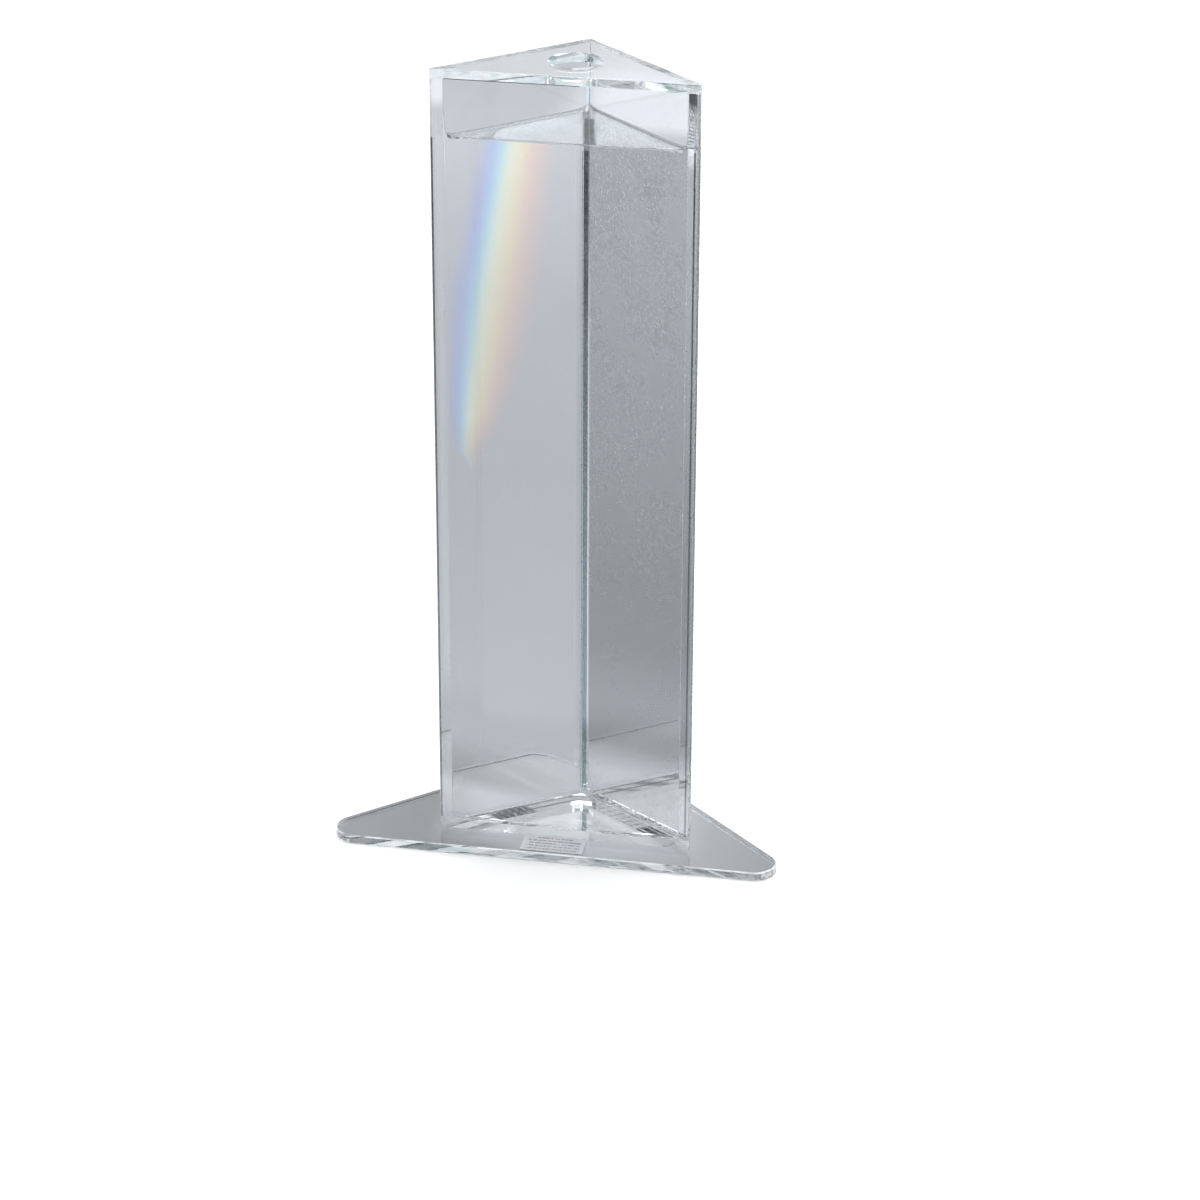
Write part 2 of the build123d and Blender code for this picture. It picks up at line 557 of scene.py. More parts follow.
def open_seam_painted_shade(name, tint, shade):
    """A seam with no cement in it, painted dark: painted shade, darkest near the water's surface."""
    nodes = Nodes(name)
    nodes.glass(CEMENTED_IOR)
    height = nodes.spread(nodes.split()[2], FLOOR_Z, WATER_Z, 0.0, 1.0)
    patches = nodes.spread(nodes.noise(45.0), 0.3, 0.7, 0.75, 1.1)
    ragged = nodes.combine("MULTIPLY", patches, height)
    nodes.link(nodes.mix(ragged, shade, tint), nodes.shader.inputs["Base Color"])
    return nodes.material


def make_acrylic():
    """A material for each kind of face that a clear piece can have."""
    tint = (0.985, 0.99, 0.993)
    shade = (0.97, 0.98, 0.985)
    return [
        clear("acrylic_in_air", ACRYLIC_IOR, tint, shade, dust=0.3, wear=0.2),
        clear("acrylic_on_water", WET_IOR, tint, shade),
        clear("cement_film", CEMENTED_IOR, (1.0, 1.0, 1.0), (0.99, 0.994, 0.996)),
        sawn("sawn_edge", (0.7, 0.76, 0.78), (0.86, 0.9, 0.91), 0.9 * MM),
        clear("water_surface", WATER_IOR, (0.985, 0.99, 0.995), shade),
        # open seams, painted dark: painted shade
        open_seam_painted_shade("open_seam_painted_shade", (0.03, 0.04, 0.05), (0.42, 0.48, 0.52)),
        clear("scuffed_acrylic", ACRYLIC_IOR, tint, shade, dust=0.9, wear=0.25, haze=0.9),
        # the rear left rims, painted dark: painted shade
        rim_painted_shade("rim_painted_shade", (0.02, 0.03, 0.035), (0.1, 0.13, 0.14)),
        # cement film on the walls' tops, and also painted white on rim slopes and above the water's edge:
        # painted highlight
        milky_seam("milky_seam", (0.8, 0.86, 0.87), (0.95, 0.97, 0.97), 0.0),
        edge_on("sheet_edge", (0.5, 0.63, 0.66), (0.97, 0.99, 0.99)),
        milky_seam("hazy_seam", (0.97, 0.98, 0.985), (0.99, 0.99, 0.99), 0.75),
        # a lighter copy of the sheet's side: painted highlight
        edge_on("sheet_edge_painted_highlight", (0.93, 0.97, 0.98), (0.99, 0.99, 0.99)),
        # painted white: a painted highlight on the bottom plate's front and above the water on the rear
        # right wall
        milky_seam("white_film_painted_highlight", (0.93, 0.96, 0.97), (0.98, 0.99, 0.99), 0.1),
    ]


kinds_of_face = make_acrylic()


# ---------------------------------------------------------------- the column

outline = column_outline()
cavity = cavity_outline()
inner_corners = triangle(CAVITY_RADIUS)


def seam_points(corner):
    """The seam between two walls, from outside to inside."""
    tip = 2 * corner
    outer = (outline[tip - 1] + outline[tip]) / 2
    inner = inner_corners[corner]
    start, end = OPEN_PARTS[corner]
    return [outer, outer.lerp(inner, start), outer.lerp(inner, end), inner]


def wall_section(first, second):
    """A wall's section, counterclockwise, and how many faces it has on the inside. It starts
    with the outer face, and then come the seam at the second corner, the inside and the seam
    at the first corner."""
    inside = spaced(bead_arc(first)[-1], bead_arc(second)[0])[::-1]
    points = [outline[2 * first], outline[2 * first + 1]]
    points += seam_points(second) + inside + seam_points(first)[::-1]
    return points, len(inside) - 1


def top_gap():
    """The part of the front wall's top that the cement under the top plate didn't reach."""
    left = inner_corners[LEFT].x + 1 * MM
    right = 0.12 * inner_corners[RIGHT].x
    front = -COLUMN_RADIUS + 0.15 * MM
    back = -CAVITY_RADIUS - 0.15 * MM
    return [Vector((left, front)), Vector((right, front)), Vector((right, back)), Vector((left, back))]


def add_seam_bubbles(shell):
    """Bubbles that the cement left in the front wall, next to its seams."""
    chance = random.Random(7)
    margin = 3 * MM
    for side, corner in ((1, inner_corners[LEFT]), (-1, inner_corners[RIGHT])):
        z = FLOOR_Z + margin
        while z < CEILING_Z - margin:
            radius = chance.uniform(0.1, 0.24) * MM
            x = corner.x + side * chance.uniform(0.1, 0.6) * MM
            y = corner.y - chance.uniform(0.7, 1.1) * MM
            shell.bubble(Vector((x, y, z)), (radius, radius, radius * chance.uniform(1.0, 1.8)), 0)
            z += chance.choice((0.9, 1.3, 2.0, 3.5, 6.0, 14.0, 22.0)) * MM


def add_floor_bubbles(shell):
    """Long bubbles in the bottom plate, under the beads along its sides."""
    chance = random.Random(11)
    margin = 2.5 * MM
    for corner in range(3):
        start = inner_corners[corner]
        end = inner_corners[(corner + 1) % 3]
        along = (end - start).normalized()
        inwards = Vector((-along.y, along.x))
        reached = margin
        while reached < (end - start).length - margin:
            length = chance.uniform(0.3, 1.5) * MM
            spot = start + along * reached + inwards * chance.uniform(0.1, 0.7) * MM
            centre = Vector((spot.x, spot.y, FLOOR_Z - chance.uniform(0.35, 0.6) * MM))
            width = chance.uniform(0.14, 0.24) * MM
            shell.bubble(centre, (length, width, width), atan2(along.y, along.x))
            reached += 2 * length + chance.uniform(0.2, 2.6) * MM


def make_wall(name, first, second, outer_face):
    """A wall between two corners of the column. The kinds of its faces go with the height."""
    points, faces_inside = wall_section(first, second)
    count = len(points)
    rear_right = name == "clear_rear_right_wall"

    def kinds(seam, rear_seam, inner_face):
        near, far = (rear_seam if corner == REAR else seam for corner in (first, second))
        around = [outer_face, SAWN, CEMENTED, far, CEMENTED, CEMENTED]
        around += [inner_face] * faces_inside
        return around + [CEMENTED, CEMENTED, near, CEMENTED, SAWN]

    bands = [
        kinds(CEMENTED, CEMENTED, CEMENTED),
        # from the bead up to the water's edge the open seams are painted dark: painted shade
        kinds(OPEN_SEAM_PAINTED_SHADE, OPEN_SEAM_PAINTED_SHADE, WET),
        kinds(OPEN_SEAM_PAINTED_SHADE, CEMENTED, WET),
        # on the rear right wall, the line just under the water's edge is painted dark: painted shade
        kinds(OPEN_SEAM_PAINTED_SHADE, CEMENTED, OPEN_SEAM_PAINTED_SHADE if rear_right else WET),
        # the band just above the water's edge is painted white: a painted highlight
        kinds(MILKY_CEMENT_AND_HIGHLIGHT, MILKY_CEMENT_AND_HIGHLIGHT, PAINTED_HIGHLIGHT_FILM if rear_right else MILKY_CEMENT_AND_HIGHLIGHT),
        kinds(HAZY, HAZY, AIR),
    ]
    contact = [water_contact(point) for point in points]
    seam_length = len(seam_points(first))
    for i in range(count):
        if i < 2 + seam_length or i >= count - seam_length:
            contact[i] = WATER_Z + MENISCUS_RISE
    highlight_height = BROAD_WATERLINE if rear_right else WATERLINE
    shell = Shell()
    shrunk = inset(points, FILM)
    rings = [
        shell.level_ring(shrunk, FLOOR_Z + FILM),
        shell.level_ring(shrunk, FLOOR_Z + BEAD_LEG),
        shell.level_ring(shrunk, WATER_Z - SHALLOW),
        shell.ring(shrunk, [z - EDGE_LINE for z in contact]),
        shell.ring(shrunk, contact),
        shell.ring(shrunk, [z + highlight_height for z in contact]),
        shell.level_ring(shrunk, CEILING_Z - FILM),
    ]
    shell.cap([rings[0]], [CEMENTED], up=False)
    for lower, upper, around in zip(rings, rings[1:], bands):
        shell.band(lower, upper, around)
    if name == "clear_front_wall":
        # the part that the cement didn't reach is painted dark: painted shade
        gap = shell.level_ring(top_gap(), CEILING_Z - FILM)
        shell.cap([rings[-1], gap], [MILKY_CEMENT_AND_HIGHLIGHT, OPEN_SEAM_PAINTED_SHADE], up=True)
        add_seam_bubbles(shell)
    else:
        shell.cap([rings[-1]], [MILKY_CEMENT_AND_HIGHLIGHT], up=True)
    shell.piece(name, kinds_of_face, name.replace("clear_", ""), "clear_acrylic")


make_wall("clear_front_wall", LEFT, RIGHT, AIR)
make_wall("clear_rear_right_wall", RIGHT, REAR, SCUFFED)
make_wall("clear_rear_left_wall", REAR, LEFT, AIR)


def make_bottom_plate():
    """The column's floor. Its front side is painted white, a painted highlight, and the cement stayed
    cloudy under it.
    """
    shell = Shell()
    shrunk = inset(outline, FILM)
    floor_scale = (CAVITY_RADIUS - BEAD_LEG) / CAVITY_RADIUS
    low = shell.level_ring(shrunk, BASE_TOP_Z + FILM)
    high = shell.level_ring(shrunk, FLOOR_Z)
    bead_foot = shell.level_ring([p * floor_scale for p in cavity], FLOOR_Z)
    # the front side painted white and the other sides lighter: painted highlight
    shell.band(low, high, [PAINTED_HIGHLIGHT_FILM, SAWN, SHEET_EDGE_PAINTED_HIGHLIGHT, SAWN, SHEET_EDGE_PAINTED_HIGHLIGHT, SAWN])
    shell.cap([low], [HAZY], up=False)
    shell.cap([high, bead_foot], [CEMENTED, WET], up=True)
    add_floor_bubbles(shell)
    shell.piece("clear_bottom_plate", kinds_of_face, "bottom_plate", "clear_acrylic")


make_bottom_plate()


def circle(radius, count):
    """Points on a circle around the column's axis."""
    angles = [2 * pi * i / count for i in range(count)]
    return [Vector((cos(angle), sin(angle))) * radius for angle in angles]


def make_top_plate():
    """The column's lid, with the fill hole. Its upper rim and the hole's rims are broken."""
    shell = Shell()
    shrunk = inset(outline, FILM)
    low = shell.level_ring(shrunk, CEILING_Z)
    shoulder = shell.level_ring(shrunk, TOP_Z - TOP_BREAK)
    high = shell.level_ring(inset(outline, TOP_BREAK), TOP_Z - FILM)
    room = shell.level_ring(cavity, CEILING_Z)
    wide = circle(HOLE_RADIUS + HOLE_BREAK, HOLE_STEPS)
    narrow = circle(HOLE_RADIUS, HOLE_STEPS)
    hole = [
        shell.level_ring(wide, TOP_Z - FILM),
        shell.level_ring(narrow, TOP_Z - HOLE_BREAK),
        shell.level_ring(narrow, CEILING_Z + HOLE_BREAK),
        shell.level_ring(wide, CEILING_Z),
    ]
    shell.band(low, shoulder, [EDGE_ON, SAWN] * 3)
    # rim slopes painted white at the front and right, a painted highlight, and dark on the rear left
    # side, painted shade
    shell.band(shoulder, high, [MILKY_CEMENT_AND_HIGHLIGHT, SAWN, MILKY_CEMENT_AND_HIGHLIGHT, SAWN, PAINTED_SHADE_RIM, SAWN])
    for upper, lower in zip(hole, hole[1:]):
        shell.band(upper, lower, EDGE_ON)
    shell.cap([high, hole[0]], [AIR, None], up=True)
    shell.cap([low, room, hole[3]], [CEMENTED, AIR, None], up=False)
    shell.piece("clear_top_plate", kinds_of_face, "top_plate", "clear_acrylic")


make_top_plate()


def make_seam_bead(name, corner):
    """The cement bead in an upright inner corner, wet up to the water's edge."""
    arc = bead_arc(corner)
    points = [inner_corners[corner]] + arc[::-1]
    shrunk = inset(points, FILM)
    contact = [water_contact(p) for p in points]
    contact[0] = contact[1]
    wet = [CEMENTED] + [WET] * BEAD_STEPS + [CEMENTED]
    dry = [CEMENTED] + [AIR] * BEAD_STEPS + [CEMENTED]
    shell = Shell()
    rings = [
        shell.level_ring(shrunk, FLOOR_Z + BEAD_LEG + FILM),
        shell.ring(shrunk, contact),
        shell.level_ring(shrunk, CEILING_Z - FILM),
    ]
    shell.cap([rings[0]], [CEMENTED], up=False)
    shell.band(rings[0], rings[1], wet)
    shell.band(rings[1], rings[2], dry)
    shell.cap([rings[2]], [CEMENTED], up=True)
    shell.piece("clear_" + name, kinds_of_face, name, "cement")


make_seam_bead("left_seam_bead", LEFT)
make_seam_bead("right_seam_bead", RIGHT)
make_seam_bead("rear_seam_bead", REAR)


def floor_slope():
    """Scale and height of the rings up the hollow face of the floor bead."""
    rows = []
    for i in range(SLOPE_STEPS + 1):
        turn = pi / 2 * i / SLOPE_STEPS
        inwards = BEAD_LEG * (1 - sin(turn))
        rows.append(((CAVITY_RADIUS - inwards) / CAVITY_RADIUS, FLOOR_Z + BEAD_LEG * (1 - cos(turn))))
    return rows


def make_floor_bead():
    """The cement bead around the floor."""
    shell = Shell()
    shrunk = inset(cavity, FILM)
    low = shell.level_ring(shrunk, FLOOR_Z + FILM)
    high = shell.level_ring(shrunk, FLOOR_Z + BEAD_LEG - FILM)
    slope = []
    for scale, z in floor_slope()[:-1]:
        slope.append(shell.level_ring([p * scale for p in shrunk], z + FILM))
    shell.band(low, high, CEMENTED)
    shell.cap([low, slope[0]], [CEMENTED, None], up=False)
    slope.append(high)
    for lower, upper in zip(slope, slope[1:]):
        shell.band(upper, lower, WET)
    shell.piece("clear_floor_bead", kinds_of_face, "floor_bead", "cement", smooth=(WET,))


make_floor_bead()


def make_water():
    """The water, up to a surface that climbs the walls and, higher, the sharp corners."""
    shell = Shell()
    shrunk = inset(cavity, WATER_GAP)
    contact = [water_contact(p) for p in cavity]
    rings = []
    for scale, z in floor_slope():
        rings.append(shell.level_ring([p * scale for p in shrunk], z + WATER_GAP))
    rings.append(shell.ring(shrunk, contact))
    for lower, upper in zip(rings, rings[1:]):
        shell.band(lower, upper, CEMENTED)
    shell.cap([rings[0]], [CEMENTED], up=False)
    edge = rings[-1]
    for away in MENISCUS_RINGS:
        distance = away * MM
        heights = []
        for point, z in zip(cavity, contact):
            from_corner = min((point - corner).length for corner in inner_corners[:REAR])
            reach = min(MENISCUS_LENGTH, MENISCUS_WIDENS * from_corner + MENISCUS_AT_CORNER)
            heights.append(WATER_Z + (z - WATER_Z) * exp(-distance / reach))
        scale = (CAVITY_RADIUS - distance) / CAVITY_RADIUS
        ring = shell.ring([p * scale for p in shrunk], heights)
        shell.band(edge, ring, SURFACE)
        edge = ring
    shell.cap([edge], [SURFACE], up=True)
    shell.piece("water", kinds_of_face, "water_fill", "water", smooth=(SURFACE,))


make_water()


# ---------------------------------------------------------------- the base

def base_outline():
    """The base's round-cornered triangle, counterclockwise."""
    front_y = base_low[1]
    corners = [
        Vector((BASE_MIDDLE - BASE_HALF, front_y)),
        Vector((BASE_MIDDLE + BASE_HALF, front_y)),
        Vector((BASE_MIDDLE, front_y + BASE_HALF)),
    ]
    points = []
    for i, corner in enumerate(corners):
        ahead = (corners[(i + 1) % 3] - corner).normalized()
        behind = (corners[i - 1] - corner).normalized()
        half_angle = ahead.angle(behind) / 2
        centre = corner + (ahead + behind).normalized() * (BASE_CORNER / sin(half_angle))
        reach = BASE_CORNER / tan(half_angle)
        start = corner + behind * reach - centre
        turn = pi - 2 * half_angle
        for k in range(CORNER_STEPS + 1):
            angle = turn * k / CORNER_STEPS
            along = start.x * cos(angle) - start.y * sin(angle)
            across = start.x * sin(angle) + start.y * cos(angle)
            points.append(centre + Vector((along, across)))
    return points


def make_base():
    """The base plate. The slopes on its rims are painted milky white, a painted highlight, and dark along
    its rear left side, painted shade. The greenish side of the sheet shows at the front; its other sides
    are painted lighter, a painted highlight."""
    shell = Shell()
    rim = base_outline()
    count = len(rim)
    narrow = inset(rim, BASE_BREAK)
    rings = [
        shell.level_ring(narrow, FILM),
        shell.level_ring(rim, BASE_BREAK),
        shell.level_ring(rim, BASE_TOP_Z - BASE_BREAK),
        shell.level_ring(narrow, BASE_TOP_Z),
    ]
    foot = shell.level_ring(outline, BASE_TOP_Z)
    third = count // 3
    rear_middle = 5 * third // 2
    # rim slopes painted white, a painted highlight, and dark along the rear left, painted shade
    slope = [MILKY_CEMENT_AND_HIGHLIGHT] * rear_middle + [PAINTED_SHADE_RIM] * (count - rear_middle)
    # the front and its left corner show the greenish side, the rest is painted lighter: painted highlight
    side = [EDGE_ON] * third + [SHEET_EDGE_PAINTED_HIGHLIGHT] * (count - third)
    for lower, upper, around in zip(rings, rings[1:], (slope, side, slope)):
        shell.band(lower, upper, around)
    shell.cap([rings[0]], [AIR], up=False)
    shell.cap([rings[-1], foot], [AIR, CEMENTED], up=True)
    shell.piece("clear_base_plate", kinds_of_face, "base_plate", "base_acrylic")


make_base()


# The print: its rows, the blank edge above and below them and the height of a bar as parts of
# a row, and how far the bars reach sideways as parts of half the label's width
PRINT_ROWS = 5
PRINT_MARGIN = 0.35
PRINT_HEIGHT = 0.48
ROW_REACH = 0.86
TITLE_REACH = 0.56

LABEL_ROUNDING = 0.5 * MM           # radius of its corners
LABEL_CORNER_STEPS = 4


def printed_foil():
    """Brushed foil, printed with rows of plain bars that stand for the lines of print."""
    nodes = Nodes("printed_foil")
    shader = nodes.shader
    shader.inputs["Metallic"].default_value = 0.4
    brushed = nodes.noise(1.0, 4.0, 0.6, nodes.stretched((300.0, 4000.0, 300.0)))
    foil = nodes.mix(brushed, (0.62, 0.62, 0.65), (0.76, 0.76, 0.79))
    x, y = nodes.split()[:2]
    row = nodes.spread(y, label_low[1], label_high[1], -PRINT_MARGIN, PRINT_ROWS + PRINT_MARGIN)
    number = nodes.combine("FLOOR", row, 0.0)
    within = nodes.combine("SUBTRACT", row, number)
    off_middle = nodes.combine("ABSOLUTE", nodes.combine("SUBTRACT", within, 0.5), 0.0)
    on_row = nodes.combine("LESS_THAN", off_middle, PRINT_HEIGHT / 2)
    sideways = nodes.spread(x, label_low[0], label_high[0], -1.0, 1.0)
    sideways = nodes.combine("ABSOLUTE", sideways, 0.0)
    title = nodes.combine("GREATER_THAN", number, PRINT_ROWS - 1.5)
    reach = nodes.spread(title, 0.0, 1.0, ROW_REACH, TITLE_REACH)
    in_reach = nodes.combine("LESS_THAN", sideways, reach)
    above_low = nodes.combine("GREATER_THAN", row, 0.0)
    below_high = nodes.combine("LESS_THAN", row, PRINT_ROWS)
    on_label = nodes.combine("MULTIPLY", above_low, below_high)
    join = nodes.add("ShaderNodeCombineXYZ")
    nodes.link(nodes.combine("MULTIPLY", x, 1500.0), join.inputs["X"])
    nodes.link(nodes.combine("MULTIPLY", number, 7.3), join.inputs["Y"])
    dashes = nodes.combine("GREATER_THAN", nodes.noise(1.0, 1.0, 0.5, join.outputs["Vector"]), 0.44)
    bars = nodes.combine("MULTIPLY", on_row, in_reach)
    printed = nodes.combine("MULTIPLY", on_label, dashes)
    ink = nodes.combine("MULTIPLY", nodes.combine("MULTIPLY", bars, printed), 0.62)
    nodes.link(nodes.mix(ink, foil, (0.12, 0.12, 0.14)), shader.inputs["Base Color"])
    nodes.link(nodes.spread(brushed, 0.3, 0.7, 0.3, 0.45), shader.inputs["Roughness"])
    return nodes.material


def plain_foil(name, dark, light):
    """Foil without print, with fine grains."""
    nodes = Nodes(name)
    nodes.link(nodes.mix(nodes.noise(900.0), dark, light), nodes.shader.inputs["Base Color"])
    nodes.shader.inputs["Roughness"].default_value = 0.6
    return nodes.material


def make_label():
    """A foil plate with round corners."""
    width = label_high[0] - label_low[0]
    depth = label_high[1] - label_low[1]
    middle = Vector(((label_high[0] + label_low[0]) / 2, (label_high[1] + label_low[1]) / 2))
    radius = LABEL_ROUNDING
    points = []
    for corner, (sx, sy) in enumerate(((1, 1), (-1, 1), (-1, -1), (1, -1))):
        centre = middle + Vector((sx * (width / 2 - radius), sy * (depth / 2 - radius)))
        for k in range(LABEL_CORNER_STEPS + 1):
            angle = pi / 2 * (corner + k / LABEL_CORNER_STEPS)
            points.append(centre + Vector((cos(angle), sin(angle))) * radius)
    shell = Shell()
    low = shell.level_ring(points, label_low[2] + FILM)
    high = shell.level_ring(points, label_high[2])
    shell.band(low, high, CUT_EDGE_PAINTED_SHADE)
    shell.cap([low], [BACK], up=False)
    shell.cap([high], [PRINT], up=True)
    # the cut edge's dark colour is painted shade
    cut_edge = plain_foil("foil_cut_edge_painted_shade", (0.16, 0.16, 0.18), (0.26, 0.26, 0.28))
    back = plain_foil("foil_back", (0.95, 0.96, 0.97), (0.99, 0.99, 0.99))
    shell.piece("foil_label", [printed_foil(), cut_edge, back], "label", "label_foil")


make_label()


# ---------------------------------------------------------------- stage

STAGE_HALF = 9.0                    # half the floor's width
STAGE_DROP = 2 * FILM               # and how far it lies below the prism
STAGE_LIGHT = (0.915, 0.955, 1.015)     # the cool colour of the painted glow that shows through the prism
UNDER_COLUMN = (0.6, 0.6, 0.6)      # how light the painted glow is under the column


def colour_ramp(nodes, value, low, high, stops, interpolation="LINEAR"):
    """Colours over a value that runs from low to high, each a (position, colour)."""
    ramp = nodes.add("ShaderNodeValToRGB")
    ramp.color_ramp.interpolation = interpolation
    nodes.link(nodes.spread(value, low, high, 0.0, 1.0), ramp.inputs["Fac"])
    elements = ramp.color_ramp.elements
    while len(elements) < len(stops):
        elements.new(0.5)
    for element, (position, colour) in zip(elements, stops):
        element.position = position
        element.color = (*colour, 1)
    return ramp.outputs["Color"]


def grey_ramp(nodes, value, stops):
    """A grey that goes through the levels at the given places, each a (place, level)."""
    low = stops[0][0]
    high = stops[-1][0]
    greys = [((place - low) / (high - low), (level, level, level)) for place, level in stops]
    return colour_ramp(nodes, value, low, high, greys)


def spectrum(nodes, x, y, light):
    """Paints the coloured band that a prism throws into the floor's painted glow: painted light. It
    starts at a round tip, and leans to the right on its way back."""
    middle = nodes.spread(y, 0.375, 0.875, 0.02, 0.1075)
    rounded = nodes.combine("POWER", nodes.spread(y, 0.355, 0.605, 0.0, 1.0), 0.5)
    half_width = nodes.combine("MULTIPLY", nodes.combine("MAXIMUM", rounded, 0.1), 0.019)
    across = nodes.combine("DIVIDE", nodes.combine("SUBTRACT", x, middle), half_width)
    bands = [
        (0.0, (1.0, 1.0, 1.0)),
        (0.16, (1.0, 1.0, 1.0)),
        (0.28, (0.82, 0.86, 1.35)),
        (0.38, (0.86, 1.28, 1.4)),
        (0.47, (1.5, 1.5, 1.2)),
        (0.6, (1.5, 1.3, 0.95)),
        (0.74, (1.35, 1.0, 0.96)),
        (0.9, (1.0, 1.0, 1.0)),
    ]
    halves = [(position, tuple(c / 2 for c in colour)) for position, colour in bands]
    colours = colour_ramp(nodes, across, -1.6, 1.6, halves, "B_SPLINE")
    coloured = nodes.mix(1.0, light, colours, "MULTIPLY")
    doubled = nodes.mix(1.0, coloured, coloured, "ADD")
    return nodes.mix(nodes.spread(y, 0.345, 0.42, 0.0, 1.0), light, doubled)


def both(nodes, first, second):
    """1 where both values are 1, and 0 where one is 0."""
    return nodes.combine("MULTIPLY", first, second)


def floor_behind(nodes, x, y):
    """Painted light: how light the floor looks behind the prism, seen through it. It is brightest a long
    way to the left.
    """
    level = grey_ramp(nodes, y, [
        (0.0, 0.5), (0.11, 0.5), (0.2, 0.465), (0.36, 0.44), (0.6, 0.49), (0.86, 0.64), (1.0, 0.58),
    ])
    left = nodes.spread(x, -0.84, -0.82, 1.0, 0.0)
    left_level = grey_ramp(nodes, x, [
        (-1.2, 1.1), (-0.9, 1.1), (-0.893, 4.2), (-0.885, 4.2), (-0.878, 1.4), (-0.82, 0.8),
    ])
    level = nodes.mix(left, level, left_level)
    strip = both(nodes, nodes.spread(x, -0.2, -0.165, 0.0, 1.0), nodes.spread(y, 0.885, 0.91, 0.0, 1.0))
    strip = both(nodes, strip, nodes.spread(y, 0.99, 1.06, 1.0, 0.0))
    level = nodes.mix(strip, level, (0.95, 0.95, 0.95))
    return spectrum(nodes, x, y, level)


def floor_in_front(nodes, x, y):
    """Painted light and shade: how light the floor looks beside the prism and in front of it, seen
    through it.
    """
    level = grey_ramp(nodes, x, [
        (-0.82, 0.39), (-0.58, 0.33), (-0.35, 0.26), (-0.22, 0.215), (-0.15, 0.23), (-0.1, 0.31),
        (-0.06, 0.24), (-0.03, 0.24), (0.0, 0.5), (0.04, 0.44), (0.09, 0.26), (0.12, 0.8),
    ])
    before = both(nodes, nodes.spread(x, -0.13, -0.1, 0.0, 1.0), nodes.spread(y, -0.065, -0.05, 1.0, 0.0))
    return nodes.mix(before, level, grey_ramp(nodes, x, [(-0.1, 0.6), (-0.02, 0.75), (0.05, 1.0)]))


def floor_material():
    """White as seen directly. Through the prism it is a painted glow instead, a little darker and
    not even: painted light, brightest at the back and the left, and there the prism's own spectrum is
    painted."""
    nodes = Nodes("stage_floor")
    shader = nodes.shader
    shader.inputs["Base Color"].default_value = (0.9, 0.9, 0.9, 1)
    shader.inputs["Roughness"].default_value = 0.9
    shader.inputs["Specular IOR Level"].default_value = 0.0
    x, y = nodes.split()[:2]
    behind = nodes.spread(y, 0.02, 0.07, 0.0, 1.0)
    level = nodes.mix(behind, floor_in_front(nodes, x, y), floor_behind(nodes, x, y))
    sideways = nodes.spread(nodes.combine("ABSOLUTE", x, 0.0), 0.03, 0.055, 1.0, 0.0)
    lengthways = nodes.spread(nodes.combine("ABSOLUTE", y, 0.0), 0.018, 0.03, 1.0, 0.0)
    level = nodes.mix(both(nodes, sideways, lengthways), level, UNDER_COLUMN)
    light = nodes.mix(1.0, level, STAGE_LIGHT, "MULTIPLY")
    # rays through the prism see this painted glow: painted light
    painted_glow = nodes.add("ShaderNodeEmission")
    nodes.link(light, painted_glow.inputs["Color"])
    mix = nodes.add("ShaderNodeMixShader")
    path = nodes.add("ShaderNodeLightPath")
    nodes.link(path.outputs["Is Transmission Ray"], mix.inputs["Fac"])
    nodes.link(shader.outputs["BSDF"], mix.inputs[1])
    nodes.link(painted_glow.outputs["Emission"], mix.inputs[2])
    nodes.link(mix.outputs["Shader"], nodes.tree.nodes["Material Output"].inputs["Surface"])
    return nodes.material


def make_floor():
    """A wide white floor, just under the prism."""
    corners = []
    for side, end in ((-1, -1), (1, -1), (1, 1), (-1, 1)):
        corners.append((side * STAGE_HALF, end * STAGE_HALF, -STAGE_DROP))
    add_piece("floor", corners, [(0, 1, 2, 3)], [0], [floor_material()])


make_floor()


def softbox(name, place, aim, width, watts):
    """A square softbox that faces the point aim."""
    light = bpy.data.lights.new(name, "AREA")
    light.shape = "RECTANGLE"
    light.size = width
    light.size_y = width
    light.energy = watts
    box = bpy.data.objects.new(name, light)
    box.location = place
    box.rotation_euler = (Vector(aim) - Vector(place)).to_track_quat("-Z", "Y").to_euler()
    bpy.context.scene.collection.objects.link(box)


softbox("overhead", (0.1, 0.5, 2.4), (0, 0, 0.1), 2.8, 80)


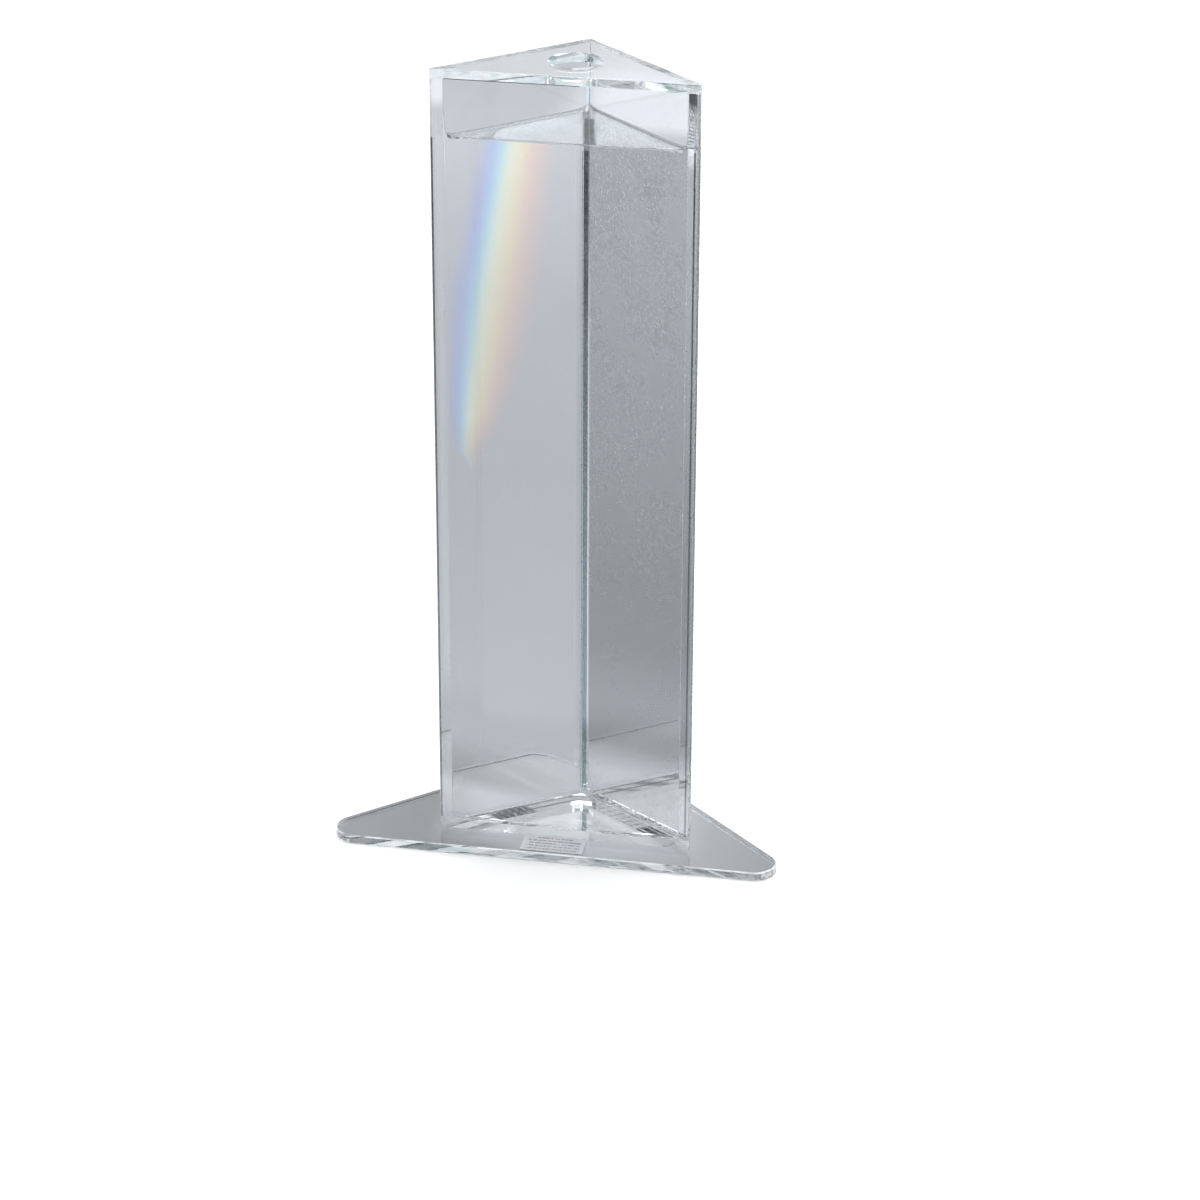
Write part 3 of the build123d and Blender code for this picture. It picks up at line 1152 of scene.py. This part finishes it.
def make_world():
    """White as seen directly. All else sees a soft room, brighter behind the object."""
    world = bpy.data.worlds.new("studio")
    bpy.context.scene.world = world
    world.use_nodes = True
    tree = world.node_tree
    path = tree.nodes.new("ShaderNodeLightPath")
    seen = tree.nodes.new("ShaderNodeBackground")
    seen.inputs["Color"].default_value = (1, 1, 1, 1)
    direction = tree.nodes.new("ShaderNodeTexCoord")
    split = tree.nodes.new("ShaderNodeSeparateXYZ")
    tree.links.new(direction.outputs["Generated"], split.inputs["Vector"])
    backward = tree.nodes.new("ShaderNodeMapRange")
    backward.inputs["From Min"].default_value = -0.6
    backward.inputs["From Max"].default_value = 0.8
    backward.inputs["To Min"].default_value = 0.6
    backward.inputs["To Max"].default_value = 0.95
    tree.links.new(split.outputs["Y"], backward.inputs["Value"])
    around = tree.nodes["Background"]
    around.inputs["Color"].default_value = (0.96, 0.985, 1.0, 1)
    tree.links.new(backward.outputs["Result"], around.inputs["Strength"])
    mix = tree.nodes.new("ShaderNodeMixShader")
    tree.links.new(path.outputs["Is Camera Ray"], mix.inputs["Fac"])
    tree.links.new(around.outputs["Background"], mix.inputs[1])
    tree.links.new(seen.outputs["Background"], mix.inputs[2])
    tree.links.new(mix.outputs["Shader"], tree.nodes["World Output"].inputs["Surface"])


make_world()


# ---------------------------------------------------------------- camera

def make_camera():
    """The photo's camera, and the scene's only one."""
    forward = Vector((
        -sin(VIEW_AZIMUTH) * cos(VIEW_ELEVATION),
        cos(VIEW_AZIMUTH) * cos(VIEW_ELEVATION),
        -sin(VIEW_ELEVATION),
    ))
    level = Vector((cos(VIEW_AZIMUTH), sin(VIEW_AZIMUTH), 0))
    up = level.cross(forward)
    right = level * cos(VIEW_ROLL) + up * sin(VIEW_ROLL)
    up = right.cross(forward)
    camera = bpy.data.objects.new("camera", bpy.data.cameras.new("camera"))
    bpy.context.scene.collection.objects.link(camera)
    camera.matrix_world = Matrix.Translation(VIEW_AIM - forward * VIEW_DISTANCE) @ Matrix((
        (right.x, up.x, -forward.x, 0),
        (right.y, up.y, -forward.y, 0),
        (right.z, up.z, -forward.z, 0),
        (0, 0, 0, 1),
    ))
    camera.data.lens = LENS
    camera.data.sensor_width = 36
    camera.data.clip_start = 0.01
    bpy.context.scene.camera = camera


make_camera()

scene = bpy.context.scene
scene.view_settings.view_transform = "Standard"
scene.cycles.max_bounces = 40
scene.cycles.transmission_bounces = 40
scene.cycles.glossy_bounces = 24
scene.cycles.transparent_max_bounces = 32
